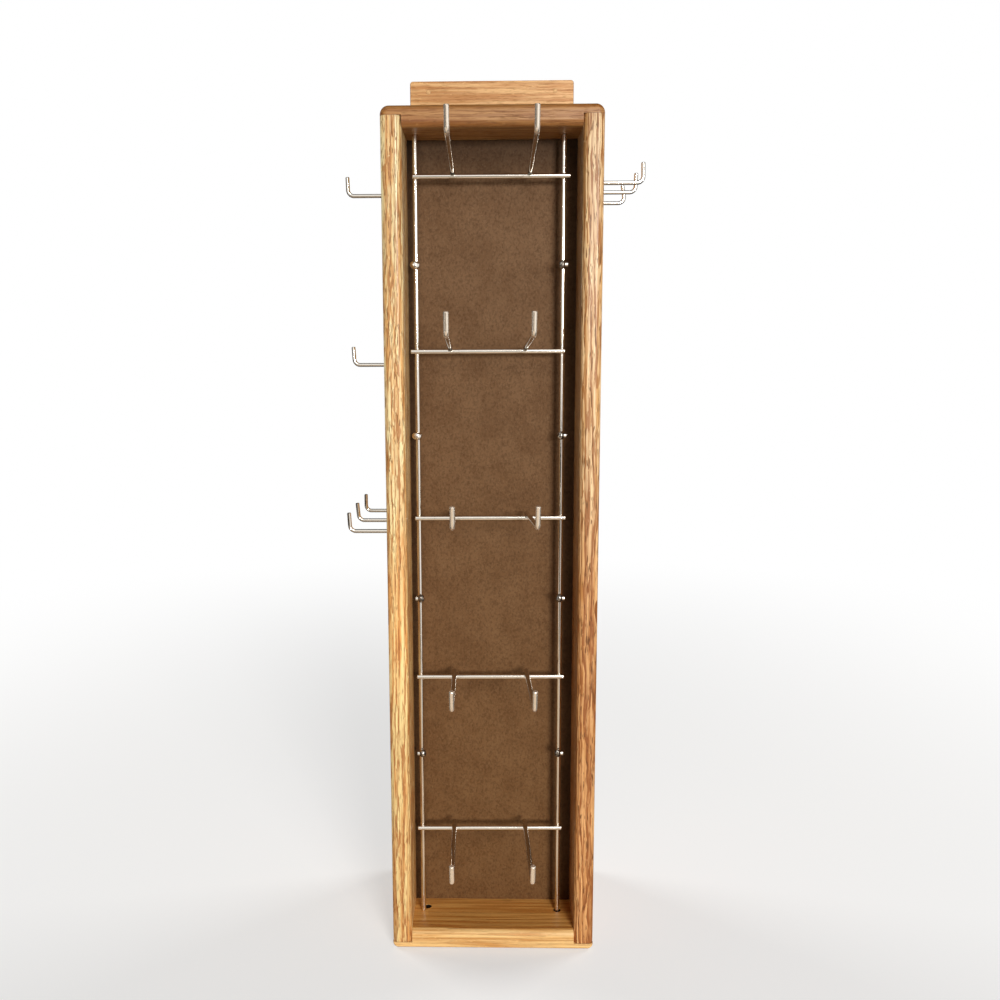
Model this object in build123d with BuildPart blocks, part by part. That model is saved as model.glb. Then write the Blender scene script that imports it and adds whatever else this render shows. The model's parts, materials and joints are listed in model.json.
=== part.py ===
import os
from math import cos, radians, sin, tan

from build123d import *

os.makedirs("parts", exist_ok=True)

# Frame: origin in the middle of the base on the table, +X to the right, +Y to the back, +Z up.

# Oak boards
board = 15.3              # thickness of the stock
box_width = 159.0         # outside, left to right
box_depth = 128.0         # outside, front to back
box_height = 642.8        # outside, without the hanging rail
top_lip = 7.0             # top board left above the side ends by its rabbets
bottom_lip = 5.0          # bottom board left below the side ends by its rabbets
corner_flat = 0.7         # flat left on the lips' ends beside the rounded outer corners
edge_round = 4.8          # rounded front edges
base_round = 2.5          # front edge along the table, eased less
back_ease = 1.0           # eased back edges

# Hardboard panel in a groove all round
panel_thickness = 3.2
groove_depth = 5.0
groove_play = 0.1         # on each face of the panel
groove_end_play = 0.5     # at each edge of the panel

# Hanging rail on the rear of the top
rail_width = 132.0
rail_height = 43.3
rail_corner = 2.4
rail_ease = 0.8
wall_hole_spacing = 102.0
wall_hole_diameter = 3.6
wall_hole_drop = 8.2      # from the rail's upper edge to the hole centres

# Rows of the wire rack
row_count = 5
top_clear = 29.7          # highest crossbar to the underside of the top board
bottom_clear = 73.7       # lowest crossbar to the upper face of the bottom board

# Wire rack
wire = 3.6                # diameter of every wire in the rack
weld_sink = 0.4           # how far two welded wires sink into each other
weld_gap = 0.02           # left between two welded wires
rod_setback = 30.1        # box front to the rods' axes
panel_gap = 17.3          # rods' axes to the panel's face
rod_side_gap = 9.4        # rods' axes to the side boards, with the rack in the middle
rack_offset = -1.9        # the rack stands a little to the left
rack_twist = 0.9          # and a little turned, in degrees, seen from above
bar_overhang = 3.2        # crossbar ends past the rods' axes
stub_inner = 2.2          # snipped stubs end this far inside the rods' axes
stub_shear = 0.6          # slant of the snipped ends, across the wire
wire_break = 0.4          # broken edge on the wires' cut ends
row_shift = (1.3, -1.4, 0.3, 0.3, -0.5)    # crossbars are welded a little off the middle
row_turn = (-0.8, 0.0, 0.8, 0.1, 0.1)      # and their hooks point a little aside, in degrees

# Seats of the rods
rod_entry = 4.0           # into the top board when the rack is down
foot_depth = 6.0          # into the bottom board
rack_lift = 8.0           # travel that frees the right foot from its hole
lift_play = 0.6           # left above the rods when the rack is up
top_hole_play = 0.7       # radial, round the rods in the top board
foot_hole_play = 1.3      # radial, round the rods in the bottom board
missed_hole_right = 3.1   # the left rod stands on the board in front of its hole,
missed_hole_back = 5.9    # which is this far to the right of it and behind it

# Front hooks
hook_spacing = 57.0
hook_reach = 103.7        # crossbar axis to the elbow
hook_rise = 4.2           # degrees that the arm climbs towards its elbow
hook_tail = 7.0           # arm behind the crossbar
hook_tip = 15.7           # elbow to the end of the tip
hook_lean = 15.8          # degrees that the tip leans forward
hook_bend = 4.2           # bend radius on the wire's axis

# Side pegs
peg_wire = 3.0
peg_fit = 0.02            # radial, in the drilled hole
peg_seat = 11.0           # depth of the drilled hole
peg_reach = 29.2          # side board to the upright's axis
peg_tip = 14.2            # arm's axis to the end of the upright
peg_bend = 4.6
peg_edge = 15.0           # outer pegs of a row to the board's edges

# Fasteners
nail_diameter = 1.6
nail_length = 32.0
nail_inset = 30.0         # from the board's edges
nail_fit = 0.02
screw_diameter = 4.0
screw_head_diameter = 7.6
screw_length = 34.0
screw_spacing = 80.0
screw_fit = 0.02
sink_angle = 82.0
drive_width = 1.0         # arms of the cross recess in the screw heads
drive_length = 4.2
drive_depth = 1.3

# Places worked out from the sizes above
inner_height = box_height - 2 * board
row_pitch = (inner_height - top_clear - bottom_clear) / (row_count - 1)
inner_width = box_width - 2 * board
front_y = -box_depth / 2
back_y = box_depth / 2
floor_z = board
ceiling_z = board + inner_height
side_bottom = bottom_lip
side_top = box_height - top_lip
panel_y = front_y + rod_setback + panel_gap
groove_width = panel_thickness + 2 * groove_play
rod_spacing = inner_width - 2 * rod_side_gap
rows = [ceiling_z - top_clear - i * row_pitch for i in range(row_count)]
weld_pitch = wire - weld_sink
top_corner = top_lip - corner_flat
bottom_corner = bottom_lip - corner_flat
rail_top = box_height + rail_height

front_view = Plane(origin=(0, back_y, 0), x_dir=(1, 0, 0), z_dir=(0, -1, 0))
twist = radians(rack_twist)
rack = Plane(
    origin=(rack_offset, front_y + rod_setback, 0),
    x_dir=(cos(twist), sin(twist), 0),
    z_dir=(0, 0, 1),
)


def at_rack(x, y, z):
    return rack.from_local_coords(Vector(x, y, z))


def write(builder, label):
    builder.part.label = label
    export_step(builder.part, f"parts/{label}.step")


rod_x = {"left": -rod_spacing / 2, "right": rod_spacing / 2}
feet = {side: at_rack(x, 0, floor_z) for side, x in rod_x.items()}
missed_hole = feet["left"] + Vector(missed_hole_right, missed_hole_back, 0)

# Hand-bent side pegs: name, side, level, drop below the crossbar at that level, place in depth, extra reach,
# outward lean in degrees
peg_level = dict(zip(("upper", "middle", "lower"), rows))
peg_y = {"front": front_y + peg_edge, "mid": 0.0, "back": back_y - peg_edge}
pegs = [
    ("left_peg_upper", "left", "upper", 8.0, "mid", 2.5, 1.5),
    ("left_peg_middle", "left", "middle", 10.3, "mid", 0.2, 3.0),
    ("left_peg_lower_front", "left", "lower", 8.0, "front", -0.3, 3.0),
    ("left_peg_lower_mid", "left", "lower", 8.0, "mid", -0.8, 5.0),
    ("left_peg_lower_back", "left", "lower", 8.0, "back", -0.6, 0.0),
    ("right_peg_front", "right", "upper", 7.4, "front", 0.2, -1.0),
    ("right_peg_mid", "right", "upper", 6.8, "mid", 1.4, 2.0),
    ("right_peg_back", "right", "upper", 8.0, "back", 0.0, -9.0),
]
outward = {"left": -1, "right": 1}


def peg_root(side, level, drop, place):
    return Vector(outward[side] * box_width / 2, peg_y[place], peg_level[level] - drop)


nail_spots = [
    (x * (box_width - board) / 2, y * (box_depth / 2 - nail_inset))
    for x in (-1, 1)
    for y in (-1, 1)
]
screw_spots = [(x * screw_spacing / 2, back_y - board / 2) for x in (-1, 1)]
nail_hole = nail_diameter / 2 + nail_fit
screw_hole = screw_diameter / 2 + screw_fit
screw_sink = screw_head_diameter / 2 + screw_fit

# Side boards, grooved for the panel and drilled for the pegs
for side, sign in outward.items():
    with BuildPart() as side_board:
        with BuildSketch(Plane.XY.offset(side_bottom)) as plan:
            with Locations((sign * (box_width - board) / 2, 0)):
                Rectangle(board, box_depth)
            fillet(plan.vertices().group_by(Axis.Y)[0], edge_round)
            fillet(plan.vertices().group_by(Axis.Y)[-1], back_ease)
        extrude(amount=side_top - side_bottom)
        with BuildSketch(Plane.XY.offset(side_bottom)):
            with Locations((sign * inner_width / 2, panel_y + panel_thickness / 2)):
                Rectangle(2 * groove_depth, groove_width)
        extrude(amount=side_top - side_bottom, mode=Mode.SUBTRACT)
        for name, peg_side, level, drop, place, extra, lean in pegs:
            if peg_side == side:
                with Locations(Plane(peg_root(side, level, drop, place), z_dir=(sign, 0, 0))):
                    Hole(peg_wire / 2 + peg_fit, depth=peg_seat)
        ends = [(spot, end) for spot in nail_spots if spot[0] * sign > 0 for end in (-1, 1)]
        for (x, y), end in ends:
            with Locations(Plane((x, y, side_top if end > 0 else side_bottom), z_dir=(0, 0, end))):
                Hole(nail_hole, depth=nail_length - (top_lip if end > 0 else bottom_lip))
    write(side_board, f"{side}_side")

# Top board, rabbeted over the side boards
with BuildPart() as top_board:
    with BuildSketch(front_view) as profile:
        with Locations((0, (ceiling_z + box_height) / 2)):
            Rectangle(inner_width, board)
        with Locations((0, (side_top + box_height) / 2)):
            Rectangle(box_width, top_lip)
        fillet(profile.vertices().group_by(Axis.Y)[-1], top_corner)
    extrude(amount=box_depth)
    front_edges = top_board.faces().sort_by(Axis.Y)[0].edges()
    fillet(front_edges.filter_by(lambda e: e.center().Z > side_top + corner_flat / 4), edge_round)
    front_edges = top_board.faces().sort_by(Axis.Y)[0].edges()
    fillet(front_edges.sort_by(Axis.Z)[0], edge_round)
    with BuildSketch(Plane.XY.offset(ceiling_z)):
        with Locations((0, panel_y + panel_thickness / 2)):
            Rectangle(inner_width, groove_width)
    extrude(amount=groove_depth, mode=Mode.SUBTRACT)
    for side, x in rod_x.items():
        with Locations(Plane(at_rack(x, 0, ceiling_z), z_dir=(0, 0, -1))):
            Hole(wire / 2 + top_hole_play, depth=rod_entry + rack_lift + lift_play)
    for x, y in nail_spots:
        with Locations((x, y, box_height)):
            Hole(nail_hole, depth=top_lip)
    for x, y in screw_spots:
        with Locations(Plane((x, y, ceiling_z), z_dir=(0, 0, -1))):
            CounterSinkHole(screw_hole, screw_sink, depth=board, counter_sink_angle=sink_angle)
write(top_board, "top_board")

# Bottom board, rabbeted under the side boards
with BuildPart() as bottom_board:
    with BuildSketch(front_view) as profile:
        with Locations((0, floor_z / 2)):
            Rectangle(inner_width, board)
        with Locations((0, bottom_lip / 2)):
            Rectangle(box_width, bottom_lip)
        fillet(profile.vertices().group_by(Axis.Y)[0], bottom_corner)
    extrude(amount=box_depth)
    front_edges = bottom_board.faces().sort_by(Axis.Y)[0].edges()
    fillet(front_edges.filter_by(lambda e: e.center().Z < side_bottom - corner_flat / 4), base_round)
    front_edges = bottom_board.faces().sort_by(Axis.Y)[0].edges()
    fillet(front_edges.sort_by(Axis.Z)[-1], edge_round)
    with BuildSketch(Plane.XY.offset(floor_z)):
        with Locations((0, panel_y + panel_thickness / 2)):
            Rectangle(inner_width, groove_width)
    extrude(amount=-groove_depth, mode=Mode.SUBTRACT)
    with Locations(feet["right"], missed_hole):
        Hole(wire / 2 + foot_hole_play, depth=foot_depth)
    for x, y in nail_spots:
        with Locations(Plane((x, y, 0), z_dir=(0, 0, -1))):
            Hole(nail_hole, depth=bottom_lip)
write(bottom_board, "bottom_board")

# Panel, captured on all four edges
with BuildPart() as inner_panel:
    edge = groove_depth - groove_end_play
    with BuildSketch(Plane(origin=(0, panel_y, 0), x_dir=(1, 0, 0), z_dir=(0, -1, 0))):
        with Locations((0, (floor_z + ceiling_z) / 2)):
            Rectangle(inner_width + 2 * edge, inner_height + 2 * edge)
    extrude(amount=-panel_thickness)
write(inner_panel, "inner_panel")

# Hanging rail with its wall-screw holes
with BuildPart() as hanging_rail:
    with BuildSketch(front_view) as profile:
        with Locations((0, box_height + rail_height / 2)):
            Rectangle(rail_width, rail_height)
        fillet(profile.vertices().group_by(Axis.Y)[-1], rail_corner)
    extrude(amount=board)
    front_edges = hanging_rail.faces().sort_by(Axis.Y)[0].edges()
    fillet(front_edges.filter_by(lambda e: e.center().Z > box_height + rail_ease / 2), rail_ease)
    for x in (-wall_hole_spacing / 2, wall_hole_spacing / 2):
        with Locations(Plane((x, back_y, rail_top - wall_hole_drop), z_dir=(0, 1, 0))):
            Hole(wall_hole_diameter / 2, depth=board)
    for x, y in screw_spots:
        with Locations(Plane((x, y, box_height), z_dir=(0, 0, -1))):
            Hole(screw_hole, depth=screw_length - board)
write(hanging_rail, "hanging_rail")

# Upright rods: the right one stands in its hole, the left one on the board
rod_foot = {"left": floor_z, "right": floor_z - foot_depth}
for side, x in rod_x.items():
    with BuildPart() as rod:
        with BuildSketch(Plane(at_rack(x, 0, rod_foot[side]))):
            Circle(wire / 2)
        extrude(amount=ceiling_z + rod_entry - rod_foot[side])
        chamfer(rod.edges().filter_by(GeomType.CIRCLE), wire_break)
    write(rod, f"{side}_rod")


# Crossbars, sunk into the fronts of the rods
for i, z in enumerate(rows):
    half = rod_spacing / 2 + bar_overhang
    with BuildPart() as crossbar:
        with BuildSketch(Plane(at_rack(row_shift[i] - half, -weld_pitch, z), z_dir=rack.x_dir)):
            Circle(wire / 2)
        extrude(amount=2 * half)
        chamfer(crossbar.edges().filter_by(GeomType.CIRCLE), wire_break)
        with BuildSketch(*[Plane(at_rack(x, 0, z - wire)) for x in rod_x.values()]):
            Circle(wire / 2 + weld_gap)
        extrude(amount=2 * wire, mode=Mode.SUBTRACT)
    write(crossbar, f"crossbar_{i + 1}")

# Snipped stubs, half way between the crossbars, sheared at a slant on their inner ends
for i in range(row_count - 1):
    z = (rows[i] + rows[i + 1]) / 2
    for side, x in rod_x.items():
        sign = outward[side]
        outer = x + sign * bar_overhang
        inner = x - sign * stub_inner
        with BuildPart() as stub:
            with BuildSketch(Plane(at_rack(0, -weld_pitch, z), x_dir=rack.x_dir, z_dir=-rack.y_dir)):
                with BuildLine():
                    Polyline(
                        (outer, -wire / 2),
                        (outer, wire / 2),
                        (inner + stub_shear, wire / 2),
                        (inner - stub_shear, -wire / 2),
                        close=True,
                    )
                make_face()
            extrude(amount=wire / 2, both=True)
            with BuildSketch(Plane(at_rack(x - sign * wire * 2, -weld_pitch, z), z_dir=rack.x_dir * sign)):
                Circle(wire / 2)
            extrude(amount=wire * 4, mode=Mode.INTERSECT)
            with BuildSketch(Plane(at_rack(x, 0, z - wire))):
                Circle(wire / 2 + weld_gap)
            extrude(amount=2 * wire, mode=Mode.SUBTRACT)
        write(stub, f"{side}_stub_{i + 1}")

# Front hooks, welded on top of the crossbars
for i, z in enumerate(rows):
    for side, sign in outward.items():
        turn = radians(row_turn[i])
        seat = at_rack(row_shift[i] + sign * hook_spacing / 2, -weld_pitch, z + weld_pitch)
        ahead = (rack.x_dir * sin(turn) - rack.y_dir * cos(turn)).normalized()
        hook_plane = Plane(origin=seat, x_dir=ahead, z_dir=ahead.cross(Vector(0, 0, 1)))
        climb = tan(radians(hook_rise))
        elbow = (hook_reach, hook_reach * climb)
        lean = radians(hook_lean)
        with BuildPart() as hook:
            with BuildLine(hook_plane) as path:
                FilletPolyline(
                    (-hook_tail, -hook_tail * climb),
                    elbow,
                    (elbow[0] + hook_tip * sin(lean), elbow[1] + hook_tip * cos(lean)),
                    radius=hook_bend,
                )
            with BuildSketch(Plane(origin=path.line @ 0, z_dir=path.line % 0)):
                Circle(wire / 2)
            sweep()
            ring = hook.edges().filter_by(GeomType.CIRCLE)
            chamfer(ring.sort_by(Axis.Z)[-1], wire_break)
            ring = hook.edges().filter_by(GeomType.CIRCLE)
            chamfer(ring.sort_by(Axis.Y)[-1], wire_break)
            with BuildSketch(Plane(seat - rack.x_dir * wire - Vector(0, 0, weld_pitch), z_dir=rack.x_dir)):
                Circle(wire / 2 + weld_gap)
            extrude(amount=2 * wire, mode=Mode.SUBTRACT)
        write(hook, f"{side}_hook_{i + 1}")

# Side pegs, driven into the side boards
for name, side, level, drop, place, extra, lean in pegs:
    root = peg_root(side, level, drop, place)
    out = Vector(outward[side], 0, 0)
    tilt = radians(lean)
    with BuildPart() as peg:
        with BuildLine(Plane(origin=root, x_dir=out, z_dir=out.cross(Vector(0, 0, 1)))) as path:
            FilletPolyline(
                (-peg_seat, 0),
                (peg_reach + extra, 0),
                (peg_reach + extra + peg_tip * sin(tilt), peg_tip * cos(tilt)),
                radius=peg_bend,
            )
        with BuildSketch(Plane(origin=path.line @ 0, z_dir=path.line % 0)):
            Circle(peg_wire / 2)
        sweep()
        ring = peg.edges().filter_by(GeomType.CIRCLE)
        chamfer(ring.sort_by(Axis.Z)[-1], wire_break)
    write(peg, name)

# Finish nails through the lips, heads set level with the boards
with BuildPart() as corner_nails:
    for x, y in nail_spots:
        with BuildSketch(Plane((x, y, box_height))):
            Circle(nail_diameter / 2)
        extrude(amount=-nail_length)
        with BuildSketch(Plane((x, y, 0))):
            Circle(nail_diameter / 2)
        extrude(amount=nail_length)
write(corner_nails, "corner_nails")

# Screws that hold the rail from inside the rear recess
head_height = (screw_head_diameter - screw_diameter) / 2 / tan(radians(sink_angle / 2))
with BuildPart() as rail_screws:
    for x, y in screw_spots:
        with BuildSketch(Plane((x, y, 0), x_dir=(1, 0, 0), z_dir=(0, -1, 0))):
            with BuildLine():
                Polyline(
                    (0, ceiling_z),
                    (screw_head_diameter / 2, ceiling_z),
                    (screw_diameter / 2, ceiling_z + head_height),
                    (screw_diameter / 2, ceiling_z + screw_length),
                    (0, ceiling_z + screw_length),
                    close=True,
                )
            make_face()
        revolve(axis=Axis((x, y, 0), (0, 0, 1)))
        with BuildSketch(Plane((x, y, ceiling_z))):
            Rectangle(drive_length, drive_width)
            Rectangle(drive_width, drive_length)
        extrude(amount=drive_depth, mode=Mode.SUBTRACT)
write(rail_screws, "rail_screws")
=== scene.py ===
import bpy
import json
import math
from mathutils import Matrix, Vector


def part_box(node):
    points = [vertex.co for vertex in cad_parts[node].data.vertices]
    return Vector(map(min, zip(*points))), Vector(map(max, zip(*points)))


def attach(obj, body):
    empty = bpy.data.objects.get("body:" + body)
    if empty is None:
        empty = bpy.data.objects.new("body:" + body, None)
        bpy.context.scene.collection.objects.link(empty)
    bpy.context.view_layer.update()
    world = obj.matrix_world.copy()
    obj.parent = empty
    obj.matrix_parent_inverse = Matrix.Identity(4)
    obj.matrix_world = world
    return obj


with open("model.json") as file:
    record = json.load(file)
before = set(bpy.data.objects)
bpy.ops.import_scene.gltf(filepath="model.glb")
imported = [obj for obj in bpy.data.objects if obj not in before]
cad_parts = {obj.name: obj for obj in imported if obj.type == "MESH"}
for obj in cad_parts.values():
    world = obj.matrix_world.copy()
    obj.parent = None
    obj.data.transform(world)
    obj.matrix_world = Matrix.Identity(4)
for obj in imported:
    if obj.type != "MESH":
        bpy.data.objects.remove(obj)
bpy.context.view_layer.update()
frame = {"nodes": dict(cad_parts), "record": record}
nodes = frame["nodes"]
mm = 0.001
bpy.ops.object.select_all(action="DESELECT")


class Wire:                                   # one shader socket that can be used in sums
    def __init__(self, finish, socket):
        self.finish = finish
        self.socket = socket

    def out(self, index):                     # another output of the same node
        return Wire(self.finish, self.socket.node.outputs[index])

    def __add__(self, other):
        return self.finish.maths("ADD", self, other)

    def __radd__(self, other):
        return self.finish.maths("ADD", other, self)

    def __sub__(self, other):
        return self.finish.maths("SUBTRACT", self, other)

    def __rsub__(self, other):
        return self.finish.maths("SUBTRACT", other, self)

    def __mul__(self, other):
        return self.finish.maths("MULTIPLY", self, other)

    def __truediv__(self, other):
        return self.finish.maths("DIVIDE", self, other)


class Finish:                                 # a node tree, filled one node at a time
    def __init__(self, tree):
        self.tree = tree
        tree.nodes.clear()

    def add(self, kind, settings, sockets, output=0):
        node = self.tree.nodes.new(kind)
        for key, value in settings.items():
            setattr(node, key, value)
        for key, value in sockets.items():
            if isinstance(value, Wire):
                self.tree.links.new(value.socket, node.inputs[key])
            else:
                node.inputs[key].default_value = value
        return Wire(self, node.outputs[output]) if len(node.outputs) else node

    def maths(self, operation, first, second=0.0):
        return self.add("ShaderNodeMath", {"operation": operation}, {0: first, 1: second})

    def spot(self):                           # object coordinates in metres
        return self.add("ShaderNodeTexCoord", {}, {}, "Object")

    def place(self):                          # the same, split and in millimetres
        parts = self.add("ShaderNodeSeparateXYZ", {}, {0: self.spot()})
        return [parts.out(i) * 1000.0 for i in range(3)]

    def noise(self, x, y, z, detail=2.0, rough=0.5):
        spot = self.add("ShaderNodeCombineXYZ", {}, {0: x, 1: y, 2: z})
        sockets = {"Vector": spot, "Scale": 1.0, "Detail": detail, "Roughness": rough}
        return self.add("ShaderNodeTexNoise", {}, sockets)

    def ramp(self, value, low, high, toLow=0.0, toHigh=1.0):
        sockets = {"Value": value, "From Min": low, "From Max": high, "To Min": toLow, "To Max": toHigh}
        return self.add("ShaderNodeMapRange", {"interpolation_type": "SMOOTHSTEP"}, sockets)

    def blend(self, factor, first, second, how="MIX"):
        settings = {"data_type": "RGBA", "blend_type": how}
        return self.add("ShaderNodeMix", settings, {0: factor, 6: first, 7: second}, 2)

    def multiply(self, first, second):
        return self.blend(1.0, first, second, "MULTIPLY")

    def grey(self, value):
        return self.add("ShaderNodeCombineColor", {}, {0: value, 1: value, 2: value})

    def surface(self, sockets):
        shader = self.add("ShaderNodeBsdfPrincipled", {}, sockets)
        self.add("ShaderNodeOutputMaterial", {}, {"Surface": shader})

    def bump(self, height, distance, strength=1.0):
        sockets = {"Height": height, "Distance": distance, "Strength": strength}
        return self.add("ShaderNodeBump", {}, sockets)


def newFinish(name):
    material = bpy.data.materials.new(name)
    material.use_nodes = True
    return material, Finish(material.node_tree)


def wear(material, *names):                   # puts one material on CAD pieces
    for name in names:
        slots = nodes[name].data.materials
        slots.clear()
        slots.append(material)


def middle(name):
    low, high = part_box(name)
    return (low + high) / 2


# Oak: growth rings round a pith line, dark lines and dashes of open pores, rays, satin varnish
oak = {                                       # lengths in mm, and widths before lengths
    "pale": (1.20, 1.31, 1.52),               # shades of a board, as multiples of its own colour
    "mid": (0.80, 0.66, 0.50),
    "dark": (0.46, 0.29, 0.17),
    "pore": (0.25, 0.17, 0.10),
    "ray": (1.12, 1.20, 1.32),
    "brightest": 0.95,
    "figure": (60.0, 240.0),                  # slow bends of the rings
    "figureSwing": 7.0,
    "swayWidth": 9.0,
    "uneven": 7.0,                            # over which the rings' widths vary
    "unevenShare": 1.8,
    "broken": (4.0, 26.0),                    # gaps in the dark lines
    "fibre": (1.1, 60.0),
    "streak": (2.6, 80.0),
    "rays": (0.6, 5.0, 13.0),                 # across, along and outward
    "rayRadius": 70.0,
    "tone": (45.0, 150.0),                    # slow light and dark areas
    "drift": (0.40, 0.66),                    # shares of the length, between the far colour and the colour
    "head": (0.66, 0.88),                     # shares of the length, over which the head gets darker
    "seamDirtAndShade": (0.10, 0.045, 0.016, 1.0),
    "seamWidth": 0.5,                         # dirt and painted shade in the joints
    "bump": 0.14 * mm,
}
boards = {      # dash and pore are the widths and lengths of the long and the short dark strokes
    "left_side": {
        "grain": 2, "pith": (-20.0, -40.0), "ring": 2.9, "taper": 0.020, "sway": (5.0, 24.0), "seed": 3.1,
        "dash": (1.6, 30.0), "pore": (1.0, 9.0), "head": 0.85, "calm": 0.40,
        "colour": (0.93, 0.610, 0.280), "far": (0.99, 0.550, 0.203),
        "rings": 0.45, "lines": 0.90, "dashes": 0.86, "pores": 0.85, "fibre": 0.30,
    },
    "right_side": {
        "grain": 2, "pith": (20.0, 5.0), "ring": 2.3, "taper": 0.014, "sway": (3.6, 30.0), "seed": 17.7,
        "dash": (1.3, 34.0), "pore": (1.0, 11.0), "head": 0.84, "calm": 0.0,
        "colour": (0.81, 0.520, 0.240), "far": (0.66, 0.325, 0.110),
        "rings": 0.58, "lines": 1.00, "dashes": 1.00, "pores": 0.95, "fibre": 0.52,
    },
    "top_board": {
        "grain": 0, "pith": (0.0, 560.0), "ring": 3.1, "taper": 0.016, "sway": (3.0, 42.0), "seed": 41.3,
        "dash": (1.0, 17.0), "pore": (0.8, 8.0), "head": 1.0, "calm": 0.0,
        "colour": (0.308, 0.134, 0.034), "far": (0.308, 0.134, 0.034),
        "rings": 0.16, "lines": 0.20, "dashes": 0.42, "pores": 0.36, "fibre": 0.26,
    },
    "bottom_board": {
        "grain": 0, "pith": (-6.0, -70.0), "ring": 3.6, "taper": 0.010, "sway": (2.0, 42.0), "seed": 58.9,
        "dash": (1.4, 40.0), "pore": (0.9, 9.0), "head": 1.0, "calm": 0.0,
        "colour": (0.83, 0.470, 0.162), "far": (0.83, 0.470, 0.162),
        "rings": 0.11, "lines": 0.13, "dashes": 0.15, "pores": 0.17, "fibre": 0.18,
    },
    "hanging_rail": {
        "grain": 0, "pith": (95.0, 588.0), "ring": 3.0, "taper": 0.014, "sway": (3.0, 42.0), "seed": 76.4,
        "dash": (0.9, 14.0), "pore": (0.8, 7.0), "head": 1.0, "calm": 0.0,
        "colour": (0.67, 0.358, 0.124), "far": (0.67, 0.358, 0.124),
        "rings": 0.14, "lines": 0.16, "dashes": 0.24, "pores": 0.28, "fibre": 0.20,
    },
}
# Painted shade: the floor of the box is darker, and the two rod seats in it are painted black inside
paintedFloorShade = {
    "shadeTint": (0.80, 0.66, 0.44, 1.0),
    "holeShade": (0.022, 0.012, 0.006, 1.0),
    "seat": 3.4,                              # mm from a seat's middle that is painted black
    "missed": (3.1, 5.9),                     # mm from the left rod to the hole beside it
}


def tinted(colour, shade):
    return tuple(min(c * s, oak["brightest"]) for c, s in zip(colour, shade)) + (1.0,)


def paintFloorShade(f, spot, colour, floorTop):
    darker = f.multiply(colour, paintedFloorShade["shadeTint"])
    colour = f.blend(f.ramp(spot[2], floorTop - 0.2, floorTop - 0.05), colour, darker)
    sunk = f.ramp(spot[2], floorTop - 0.5, floorTop - 0.1, 1.0, 0.0)
    for side, offset in (("left", paintedFloorShade["missed"]), ("right", (0.0, 0.0))):
        foot = middle(side + "_rod") * 1000.0
        awayX, awayY = spot[0] - (foot.x + offset[0]), spot[1] - (foot.y + offset[1])
        away = f.maths("SQRT", awayX * awayX + awayY * awayY)
        inside = f.ramp(away, paintedFloorShade["seat"] - 0.2, paintedFloorShade["seat"], 1.0, 0.0)
        colour = f.blend(inside * sunk, colour, paintedFloorShade["holeShade"])
    return colour


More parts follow.
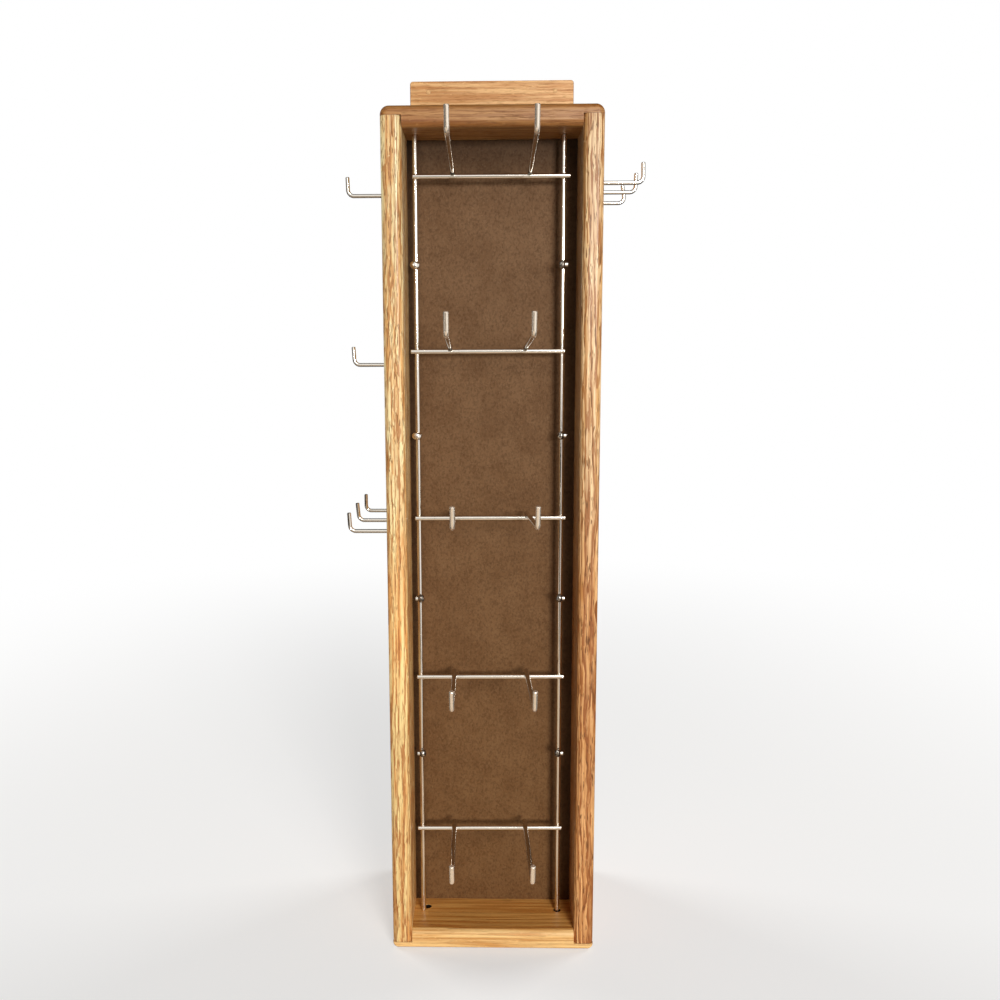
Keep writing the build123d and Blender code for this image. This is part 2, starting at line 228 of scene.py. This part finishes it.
def oakFinish(name, look):
    material, f = newFinish("oak_" + name)
    spot = f.place()
    seed = look["seed"]
    run = spot[look["grain"]]
    along = run + seed * 50.0
    across, deep = [spot[i] for i in range(3) if i != look["grain"]]
    # slow figure and small sways bend the rings and the dashes
    wide, long = oak["figure"]
    figure = f.noise(across / wide + seed, deep / wide, along / long, 1.0) - 0.5
    wide = oak["swayWidth"]
    swing, long = look["sway"]
    sway = (f.noise(across / wide, deep / wide + seed, along / long, 2.0) - 0.5) * swing
    sideA = across - look["pith"][0]
    sideB = deep - look["pith"][1]
    radius = f.maths("SQRT", sideA * sideA + sideB * sideB)
    radius = radius + figure * oak["figureSwing"] + sway + along * look["taper"]
    uneven = f.noise(radius / oak["uneven"], seed, 0.0, 1.0) - 0.5
    phase = f.maths("FRACT", radius / look["ring"] + uneven * oak["unevenShare"])
    early = f.ramp(phase, 0.0, 0.12) * f.ramp(phase, 0.20, 0.75, 1.0, 0.0)
    # a thin dark line of pores starts each ring, broken here and there
    wide, long = oak["broken"]
    broken = f.ramp(f.noise(across / wide + seed, deep / wide, along / long, 1.0), 0.40, 0.54)
    line = f.ramp(phase, 0.0, 0.06) * f.ramp(phase, 0.12, 0.34, 1.0, 0.0) * broken
    wide, long = oak["fibre"]
    fibre = f.noise(across / wide + seed, deep / wide, along / long, 2.0, 0.55)
    swayedAcross, swayedDeep = across + sway, deep + sway
    wide, long = oak["streak"]
    streak = f.noise(swayedAcross / wide, swayedDeep / wide + seed, along / long, 2.0)
    wide, long = look["dash"]
    dashField = f.noise(swayedAcross / wide, swayedDeep / wide, along / long + seed, 2.0)
    dashes = f.ramp(dashField + early * 0.08, 0.55, 0.64)
    wide, long = look["pore"]
    poreField = f.noise(swayedAcross / wide, swayedDeep / wide, along / long + seed, 2.0)
    pores = f.ramp(poreField + line * 0.06, 0.58, 0.66)
    angle = f.maths("ARCTAN2", sideB, sideA) * oak["rayRadius"]
    wide, long, outward = oak["rays"]
    rays = f.ramp(f.noise(angle / wide, along / long, radius / outward + seed, 1.0), 0.66, 0.74)
    # the board's colour drifts towards its low end
    low, high = [corner[look["grain"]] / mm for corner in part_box(name)]
    start, end = [low + share * (high - low) for share in oak["drift"]]
    drift = f.ramp(run, start, end, 1.0, 0.0)
    shades = {}
    for key in ("pale", "mid", "dark", "pore", "ray"):
        shades[key] = f.blend(drift, tinted(look["colour"], oak[key]), tinted(look["far"], oak[key]))
    colour = f.blend(f.ramp(streak, 0.36, 0.66), shades["pale"], shades["mid"])
    colour = f.blend(early * look["rings"], colour, shades["dark"])
    colour = f.blend(f.ramp(fibre, 0.40, 0.70, 0.0, look["fibre"]), colour, shades["dark"])
    colour = f.blend(dashes * look["dashes"], colour, shades["dark"])
    colour = f.blend(rays * 0.5, colour, shades["ray"])
    colour = f.blend(line * (look["lines"] - drift * look["calm"]), colour, shades["dark"])
    colour = f.blend(pores * (look["pores"] - drift * look["calm"]), colour, shades["pore"])
    # slow light and dark areas, and a darker head on the side boards
    wide, long = oak["tone"]
    tone = f.ramp(f.noise(across / wide, deep / wide, along / long + seed, 1.0), 0.30, 0.70, 0.93, 1.07)
    start, end = [low + share * (high - low) for share in oak["head"]]
    colour = f.multiply(colour, f.grey(tone * f.ramp(run, start, end, 1.0, look["head"])))
    # painted shade on the floor of the box and inside its two rod seats
    if name == "bottom_board":
        floorTop = max(v.co.z for v in nodes[name].data.vertices) / mm
        colour = paintFloorShade(f, spot, colour, floorTop)
    # dirt and painted shade where the board's ends meet the next board
    ends = f.maths("MINIMUM", run - low, high - run)
    colour = f.blend(f.ramp(ends, 0.1, oak["seamWidth"], 0.75, 0.0), colour, oak["seamDirtAndShade"])
    height = fibre * 0.25 - pores * 0.6 - dashes * 0.4 - line * 0.7
    f.surface({
        "Base Color": colour,
        "Roughness": 0.44 + pores * 0.2 + dashes * 0.08 - rays * 0.06,
        "Specular IOR Level": 0.28,
        "Normal": f.bump(height, oak["bump"], 0.8),
        "Coat Weight": 0.22,
        "Coat Roughness": 0.24,
    })
    return material


for name, look in boards.items():
    wear(oakFinish(name, look), name)
print("oak:", len(boards), "boards")

# Hardboard: pressed brown fibres, smooth in front, screen marks behind
hardboard = {                                 # lengths in mm, across and up
    "light": (0.182, 0.094, 0.043, 1.0),
    "brown": (0.146, 0.071, 0.030, 1.0),
    "fleck": (0.235, 0.135, 0.068, 1.0),
    "dark": (0.062, 0.027, 0.010, 1.0),
    "back": (0.150, 0.095, 0.055, 1.0),
    "high": (0.87, 0.90, 0.93, 1.0),          # painted light: greyer tint at the upper end
    "low": (0.97, 0.92, 0.76, 1.0),           # painted light: warm tint at the lower end, for light bounced off the floor
    "cloud": (17.0, 21.0),
    "chips": (1.5, 1.9),
    "fibre": (0.9, 1.5),
    "warp": 4.0,                              # over which the chips and fibres bend
    "warpSwing": 3.0,
    "groove": 5.0,                            # of each edge that the grooves hide
    "edges": (13.0, 44.0),                    # painted shade: over which it is darker at the sides and at the top
    "paintedShadeDepth": (0.55, 0.48),
    "screen": 1.6,                            # between the screen's wires
    "bump": 0.16 * mm,
}


def hardboardFinish():
    material, f = newFinish("hardboard")
    x, y, z = f.place()
    wide, tall = hardboard["cloud"]
    cloud = f.noise(x / wide, y, z / tall, 3.0, 0.6)
    bendX, bendZ = x / hardboard["warp"], z / hardboard["warp"]
    bentX = x + (f.noise(bendX, bendZ, 3.3) - 0.5) * hardboard["warpSwing"]
    bentZ = z + (f.noise(bendX, bendZ, 9.1) - 0.5) * hardboard["warpSwing"]
    wide, tall = hardboard["chips"]
    chips = f.noise(bentX / wide, y, bentZ / tall, 3.0, 0.6)
    wide, tall = hardboard["fibre"]
    fibre = f.noise(bentX / wide, y, bentZ / tall, 2.0)
    colour = f.blend(f.ramp(cloud, 0.28, 0.72), hardboard["brown"], hardboard["light"])
    colour = f.blend(f.ramp(chips, 0.38, 0.74, 0.0, 0.55), colour, hardboard["dark"])
    colour = f.blend(f.ramp(fibre, 0.52, 0.78, 0.0, 0.40), colour, hardboard["fleck"])
    # painted light: a greyer tint towards the top and a warmer one towards the bottom
    low, high = [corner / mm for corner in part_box("inner_panel")]
    rise = f.ramp(z, low.z, high.z)
    colour = f.multiply(colour, f.blend(rise, hardboard["low"], hardboard["high"]))
    # painted shade: darker towards the side walls and under the top board, where the box shades the panel
    fromSide = f.maths("MINIMUM", x - low.x, high.x - x) - hardboard["groove"]
    shadeNearSide = f.ramp(fromSide, 0.0, hardboard["edges"][0], hardboard["paintedShadeDepth"][0], 1.0)
    fromTop = high.z - hardboard["groove"] - z
    shadeUnderTop = f.ramp(fromTop, 0.0, hardboard["edges"][1], hardboard["paintedShadeDepth"][1], 1.0)
    colour = f.multiply(colour, f.grey(shadeNearSide * shadeUnderTop))
    # the screen's marks on the rear face
    core = (low.y + high.y) / 2
    behind = f.ramp(y, core, core + 0.4)
    turn = 2.0 * math.pi / hardboard["screen"]
    weave = f.maths("SINE", x * turn) * f.maths("SINE", z * turn)
    colour = f.blend(behind * f.ramp(weave, -0.6, 0.8), colour, hardboard["back"])
    height = chips * 0.3 + fibre * 0.2 + behind * weave * 0.9
    f.surface({
        "Base Color": colour,
        "Roughness": 0.52 + chips * 0.12 + behind * 0.2,
        "Specular IOR Level": 0.08,
        "Normal": f.bump(height, hardboard["bump"], 0.6),
    })
    return material


wear(hardboardFinish(), "inner_panel")
print("hardboard panel")

# Bright nickel plate on steel wire, a little cloudy, with small dull spots
nickel = {                                    # lengths in mm
    "bright": (0.82, 0.76, 0.67, 1.0),
    "dull": (0.36, 0.32, 0.27, 1.0),
    "burnt": (0.055, 0.040, 0.028, 1.0),
    # painted reflection: darker hook arms, for the dark room that they mirror
    "darkArmReflection": (0.38, 0.32, 0.255, 1.0),
    "tip": (0.88, 0.74, 0.58, 1.0),           # hazy plate with a warm painted reflection on the upturned tips
    "darkArmFrom": 11.0,                         # behind the front of a hook
    "darkArmEdge": 4.0,
    "cloud": 4.0,
    "spot": 1.3,
    "fine": 0.35,
    "scale": 1.6,
    "smooth": 0.07,
    "bump": 0.03 * mm,
}


def nickelFinish(name, burnt=False, darkArmReflection=False):
    material, f = newFinish(name)
    place = f.place()
    cloud = f.noise(*[p / nickel["cloud"] for p in place], 3.0)
    spots = f.ramp(f.noise(*[p / nickel["spot"] for p in place], 2.0, 0.6), 0.66, 0.78)
    fine = f.noise(*[p / nickel["fine"] for p in place], 2.0)
    colour = f.blend(spots * 0.7, nickel["bright"], nickel["dull"])
    rough = nickel["smooth"] + f.ramp(cloud, 0.35, 0.75) * 0.06 + spots * 0.12
    metal = 1.0
    if burnt:
        scale = f.ramp(f.noise(*[p / nickel["scale"] for p in place], 3.0, 0.6), 0.30, 0.52)
        colour = f.blend(scale * 0.92, colour, nickel["burnt"])
        rough = rough + scale * 0.25
    # painted reflection: the hook arms darker and the hazy tips warmer, for what they mirror
    if darkArmReflection:
        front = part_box("left_hook_1")[0].y / mm + nickel["darkArmFrom"]
        arm = f.ramp(place[1] + (cloud - 0.5) * 6.0, front - nickel["darkArmEdge"], front + nickel["darkArmEdge"])
        tip = 1.0 - arm
        colour = f.blend(tip * 0.7, f.blend(arm * 0.8, colour, nickel["darkArmReflection"]), nickel["tip"])
        rough = rough + tip * (0.10 + spots * 0.15)
        metal = 1.0 - tip * 0.2
    f.surface({
        "Base Color": colour,
        "Metallic": metal,
        "Roughness": rough,
        "Normal": f.bump(fine * 0.5 + cloud * 0.8, nickel["bump"], 0.7),
    })
    return material


nickelWire = nickelFinish("nickel_wire")
hookWire = nickelFinish("hook_wire", darkArmReflection=True)
weldMetal = nickelFinish("weld_metal", burnt=True)
wireKinds = {"crossbar", "rod", "hook", "stub", "peg"}
wireNames = [n for n in nodes if wireKinds & set(n.split("_"))]
wear(nickelWire, *wireNames)
wear(hookWire, *[n for n in wireNames if "_hook_" in n])
print("nickel wire:", len(wireNames), "pieces")

# Plain steel of the nails and screws
steel = {
    "grey": (0.46, 0.45, 0.43, 1.0),
    "rust": (0.20, 0.12, 0.07, 1.0),
    "grain": 0.5,                             # mm
    "bump": 0.05 * mm,
}


def steelFinish():
    material, f = newFinish("fastener_steel")
    grain = f.noise(*[p / steel["grain"] for p in f.place()], 3.0)
    f.surface({
        "Base Color": f.blend(f.ramp(grain, 0.52, 0.80, 0.0, 0.5), steel["grey"], steel["rust"]),
        "Metallic": 1.0,
        "Roughness": 0.34 + grain * 0.2,
        "Normal": f.bump(grain, steel["bump"], 0.5),
    })
    return material


wear(steelFinish(), "corner_nails", "rail_screws")
print("fasteners")

# Weld flash squeezed out round each joint of the rack
flash = {
    "radius": 1.75 * mm,
    "thick": 0.75 * mm,
    "sides": 14,
    "round": 0.45,                            # bevel, as a share of the thickness
    "rough": 0.10 * mm,
    "merge": 0.02 * mm,
    "reach": 1.6 * mm,                        # from a wire's axis to the joint
    "onBar": 0.9 * mm,                        # from the bar's axis forward to a hook's joint
    "twist": math.radians(0.9),               # turn of the whole rack
}
# Lump of weld left where a crossbar was snipped off
lump = {
    "size": (2.9, 2.5, 3.3),                  # half widths in mm
    "fat": (3.9, 2.7, 3.0),
    "inward": 0.7 * mm,                       # from the rod's axis towards the middle of the box
    "ahead": 3.3 * mm,
    "rough": 0.34 * mm,
    "tilt": 26.0,                             # degrees, less on each lump further down
    "tiltDrop": 0.35,
    "bright": (("left", 1), ("left", 2)),     # fat lumps without burnt scale, on the rod's outer side; the clean finish is also a painted highlight for the light they catch
}


def flashBead(spot, normal, seed):
    bpy.ops.object.select_all(action="DESELECT")
    bpy.ops.mesh.primitive_cylinder_add(vertices=flash["sides"], radius=flash["radius"], depth=flash["thick"])
    bead = bpy.context.object
    bpy.ops.object.mode_set(mode="EDIT")
    bpy.ops.mesh.select_all(action="SELECT")
    bpy.ops.mesh.bevel(offset=flash["thick"] * flash["round"], segments=3, affect="EDGES")
    bpy.ops.transform.vertex_random(offset=flash["rough"], seed=seed)
    bpy.ops.mesh.remove_doubles(threshold=flash["merge"])
    bpy.ops.object.mode_set(mode="OBJECT")
    turn = Vector((0, 0, 1)).rotation_difference(normal).to_matrix().to_4x4()
    bead.data.transform(Matrix.Translation(spot) @ turn)
    bpy.ops.object.shade_smooth()
    return bead


def stubLump(spot, size, tilt, seed):
    bpy.ops.object.select_all(action="DESELECT")
    bpy.ops.mesh.primitive_ico_sphere_add(subdivisions=4, radius=1.0 * mm)
    bead = bpy.context.object
    bpy.ops.object.mode_set(mode="EDIT")
    bpy.ops.mesh.select_all(action="SELECT")
    bpy.ops.transform.resize(value=size)
    bpy.ops.transform.vertex_random(offset=lump["rough"], seed=seed)
    bpy.ops.mesh.vertices_smooth(factor=0.5, repeat=3)
    bpy.ops.object.mode_set(mode="OBJECT")
    bead.data.transform(Matrix.Translation(spot) @ Matrix.Rotation(math.radians(tilt), 4, "Y"))
    bpy.ops.object.shade_smooth()
    return bead


def joinBeads(beads, name, material):
    bpy.ops.object.select_all(action="DESELECT")
    for bead in beads:
        bead.select_set(True)
    bpy.context.view_layer.objects.active = beads[0]
    bpy.ops.object.join()
    piece = bpy.context.object
    piece.name = name
    piece.data.materials.clear()
    piece.data.materials.append(material)
    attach(piece, "wire_rack")


ahead = Vector((math.sin(flash["twist"]), -math.cos(flash["twist"]), 0.0))
upward = Vector((0, 0, 1))
rods = {side: middle(side + "_rod") for side in ("left", "right")}
rodBeads, hookBeads, stubBeads, cleanLitBeads = [], [], [], []
for i in range(1, 6):
    bar = middle("crossbar_%d" % i)
    for side, rod in rods.items():
        spot = Vector((rod.x, rod.y, bar.z)) + ahead * flash["reach"]
        rodBeads.append(flashBead(spot, ahead, 10 * i + len(rodBeads)))
        hook = nodes["%s_hook_%d" % (side, i)].data
        near = [v.co.x for v in hook.vertices if abs(v.co.y - bar.y) < 4 * mm]
        hookX = (min(near) + max(near)) / 2
        barY = bar.y - ahead.x / ahead.y * (hookX - bar.x) - flash["onBar"]
        hookBeads.append(flashBead(Vector((hookX, barY, bar.z + flash["reach"])), upward, 200 + i))
for i in range(1, 5):
    tilt = lump["tilt"] * (1.0 - lump["tiltDrop"] * i)
    for side, rod in rods.items():
        clean = (side, i) in lump["bright"]
        size, inward = (lump["fat"], -lump["inward"]) if clean else (lump["size"], lump["inward"])
        stubX = rod.x + (inward if side == "left" else -inward)
        spot = Vector((stubX, rod.y, middle("%s_stub_%d" % (side, i)).z)) + ahead * lump["ahead"]
        bead = stubLump(spot, size, tilt, 300 + 7 * i + len(stubBeads))
        (cleanLitBeads if clean else stubBeads).append(bead)
joinBeads(rodBeads, "rod_weld_flash", nickelWire)
joinBeads(hookBeads, "hook_weld_flash", weldMetal)
joinBeads(stubBeads, "stub_weld_lumps", weldMetal)
joinBeads(cleanLitBeads, "bright_stub_lumps", nickelWire)

# Thin wooden plugs that close the wall-screw holes
plug = {
    "radius": 1.76 * mm,
    "deep": 3.0 * mm,
    "proud": 0.12 * mm,
    "ease": 0.25 * mm,
    "merge": 0.01 * mm,
    "pale": (0.72, 0.42, 0.17, 1.0),
    "brown": (0.50, 0.26, 0.09, 1.0),
    "pores": (0.7, 6.0),                      # mm across and along the plug
    "bump": 0.08 * mm,
}


def plugFinish():
    material, f = newFinish("plug_wood")
    x, y, z = f.place()
    wide, long = plug["pores"]
    ends = f.noise(x / wide, y / long, z / wide, 2.0, 0.6)
    f.surface({
        "Base Color": f.blend(f.ramp(ends, 0.40, 0.66), plug["pale"], plug["brown"]),
        "Roughness": 0.50 + ends * 0.2,
        "Normal": f.bump(ends, plug["bump"], 0.6),
    })
    return material


def wallPlug(name, spot, material):
    bpy.ops.object.select_all(action="DESELECT")
    bpy.ops.mesh.primitive_cylinder_add(vertices=32, radius=plug["radius"], depth=plug["deep"])
    piece = bpy.context.object
    piece.name = name
    bpy.ops.object.mode_set(mode="EDIT")
    bpy.ops.mesh.select_all(action="SELECT")
    bpy.ops.mesh.bevel(offset=plug["ease"], segments=3, affect="EDGES")
    bpy.ops.mesh.remove_doubles(threshold=plug["merge"])
    bpy.ops.object.mode_set(mode="OBJECT")
    piece.data.transform(Matrix.Translation(spot) @ Matrix.Rotation(math.radians(90.0), 4, "X"))
    bpy.ops.object.shade_smooth_by_angle(angle=math.radians(40.0))
    piece.data.materials.append(material)
    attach(piece, "cabinet")


wallMount = [m for m in frame["record"]["mounts"] if m["name"] == "wall_screws"][0]
plugWood = plugFinish()
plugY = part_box("hanging_rail")[0].y - plug["proud"] + plug["deep"] / 2
for side, sign in (("left", -1), ("right", 1)):
    plugX = sign * wallMount["dims"]["spacing_x_mm"] * mm / 2
    wallPlug(side + "_wall_plug", Vector((plugX, plugY, wallMount["pos_m"][2])), plugWood)
print("wall plugs: 2")

# Pale floor that fades into the white background
floorLook = {                                 # lengths in metres
    "colour": (0.88, 0.87, 0.85, 1.0),
    "size": 14.0,
    "drop": 0.2 * mm,                         # under the base
    "near": 0.35,                             # from here to there the floor turns white for the camera
    "far": 1.5,
    "lift": 0.45,                             # share of white at the near distance
    "glossNear": 0.5,                         # and for the metal
    "glossFar": 1.4,
}
bpy.ops.object.select_all(action="DESELECT")
bpy.ops.mesh.primitive_plane_add(size=floorLook["size"], location=(0, 0, -floorLook["drop"]))
floor = bpy.context.object
floor.name = "floor"
floorMaterial, f = newFinish("pale_floor")
away = f.add("ShaderNodeVectorMath", {"operation": "LENGTH"}, {0: f.spot()}, 1)
rays = f.add("ShaderNodeLightPath", {}, {})
matte = f.add("ShaderNodeBsdfDiffuse", {}, {"Color": floorLook["colour"]})
white = f.add("ShaderNodeEmission", {}, {"Color": (1, 1, 1, 1), "Strength": 1.0})
seen = rays * f.ramp(away, floorLook["near"], floorLook["far"], floorLook["lift"], 1.0)
mirrored = rays.out("Is Glossy Ray") * f.ramp(away, floorLook["glossNear"], floorLook["glossFar"])
mixed = f.add("ShaderNodeMixShader", {}, {0: seen + mirrored, 1: matte, 2: white})
f.add("ShaderNodeOutputMaterial", {}, {"Surface": mixed})
floor.data.materials.append(floorMaterial)

# Cards round, under and over the set, seen only in the metal: a dark room, and a tan table in front
cards = {                                     # middle in metres, turns about X and Z, width and height
    "left": {"at": (-1.4, -0.05, 0.9), "turns": (90.0, 90.0), "size": (1.8, 1.8), "shade": "room"},
    "right": {"at": (1.5, 0.40, 0.9), "turns": (90.0, 90.0), "size": (0.9, 1.8), "shade": "room"},
    "behind": {"at": (0.0, 1.3, 0.9), "turns": (90.0, 0.0), "size": (2.9, 1.8), "shade": "room"},
    "over": {"at": (0.0, 0.60, 1.85), "turns": (0.0, 0.0), "size": (2.9, 1.8), "shade": "room"},
    "lowLeft": {"at": (-0.77, 0.46, 0.001), "turns": (0.0, 0.0), "size": (1.36, 1.48), "shade": "room"},
    "lowRight": {"at": (0.77, 0.46, 0.001), "turns": (0.0, 0.0), "size": (1.36, 1.48), "shade": "room"},
    "lowFront": {"at": (-1.39, -3.36, 0.001), "turns": (0.0, 0.0), "size": (3.22, 5.28), "shade": "carpet"},
    "table": {"at": (-0.24, -0.40, 0.001), "turns": (0.0, 0.0), "size": (0.92, 0.64), "shade": "table"},
}
cardShades = {
    "room": (0.03, 0.025, 0.02, 1.0),
    "carpet": (0.24, 0.20, 0.16, 1.0),
    "table": (0.86, 0.71, 0.55, 1.0),
}
cardMaterials = {}
for name, shade in cardShades.items():
    cardMaterials[name], f = newFinish(name + "_card")
    matte = f.add("ShaderNodeBsdfDiffuse", {}, {"Color": shade})
    f.add("ShaderNodeOutputMaterial", {}, {"Surface": matte})
for name, card in cards.items():
    bpy.ops.object.select_all(action="DESELECT")
    bpy.ops.mesh.primitive_plane_add(size=1.0)
    flag = bpy.context.object
    flag.name = "card_" + name
    lean, spin = [math.radians(turn) for turn in card["turns"]]
    stand = Matrix.Rotation(spin, 4, "Z") @ Matrix.Rotation(lean, 4, "X")
    flag.data.transform(stand @ Matrix.Diagonal((card["size"][0], card["size"][1], 1.0, 1.0)))
    flag.data.transform(Matrix.Translation(card["at"]))
    flag.data.materials.append(cardMaterials[card["shade"]])
    flag.visible_camera = flag.visible_diffuse = flag.visible_shadow = False

# Small key lamp from the front right, a wide one above, and two behind for the sides and the back
lampAim = Vector((0, 0, 0.33))
lamps = {                                     # metres and watts
    "key": {"at": (0.94, -3.27, 0.86), "size": (0.80, 0.45), "power": 82.0, "mirrored": True},
    "above": {"at": (0.62, -1.80, 1.60), "size": (0.8, 0.8), "power": 15.0, "mirrored": True},
    "left": {"at": (-1.7, 0.95, 1.25), "size": (1.0, 1.0), "power": 26.0, "mirrored": False},
    "right": {"at": (1.7, 0.95, 1.25), "size": (1.0, 1.0), "power": 26.0, "mirrored": False},
}
for name, lamp in lamps.items():
    bpy.ops.object.light_add(type="AREA", location=lamp["at"])
    light = bpy.context.object
    light.name = "lamp_" + name
    light.data.shape = "RECTANGLE"
    light.data.size, light.data.size_y = lamp["size"]
    light.data.energy = lamp["power"]
    light.visible_camera = False
    light.visible_glossy = lamp["mirrored"]
    light.rotation_euler = (lampAim - Vector(lamp["at"])).to_track_quat("-Z", "Y").to_euler()

# White for the camera and the metal, and nearly black as a light
worldLook = {"ambient": 0.012}
world = bpy.data.worlds.new("studio")
bpy.context.scene.world = world
world.use_nodes = True
w = Finish(world.node_tree)
rays = w.add("ShaderNodeLightPath", {}, {})
shown = w.maths("MAXIMUM", rays, rays.out("Is Glossy Ray"))
shown = w.maths("MAXIMUM", shown, rays.out("Is Transmission Ray"))
strength = w.ramp(shown, 0.0, 1.0, worldLook["ambient"], 1.0)
sky = w.add("ShaderNodeBackground", {}, {"Color": (1, 1, 1, 1), "Strength": strength})
w.add("ShaderNodeOutputWorld", {}, {"Surface": sky})
print("stage: floor,", len(cards), "cards,", len(lamps), "lamps and world")

# Camera at the photograph's place
shot = {
    "at": (-1.91, -798.33, 472.66),           # mm, and degrees below
    "yaw": 1.313,
    "pitch": 8.60,
    "roll": -0.261,
    "lens": 36.0,
    "sensor": 36.0,
    "shift": 0.0328,
}
yaw, pitch, roll = [math.radians(shot[k]) for k in ("yaw", "pitch", "roll")]
forward = Vector((-math.sin(yaw) * math.cos(pitch), math.cos(yaw) * math.cos(pitch), -math.sin(pitch)))
level = Vector((math.cos(yaw), math.sin(yaw), 0.0))
rise = level.cross(forward)
right = math.cos(roll) * level + math.sin(roll) * rise
top = math.cos(roll) * rise - math.sin(roll) * level
cameraData = bpy.data.cameras.new("camera")
camera = bpy.data.objects.new("camera", cameraData)
bpy.context.scene.collection.objects.link(camera)
turned = Matrix((right, top, -forward)).transposed().to_4x4()
camera.matrix_world = Matrix.Translation(Vector(shot["at"]) * mm) @ turned
cameraData.sensor_width = shot["sensor"]
cameraData.lens = shot["lens"]
cameraData.shift_x = shot["shift"]
cameraData.clip_start = 0.01
bpy.context.scene.camera = camera
bpy.context.scene.view_settings.view_transform = "Standard"
print("camera")
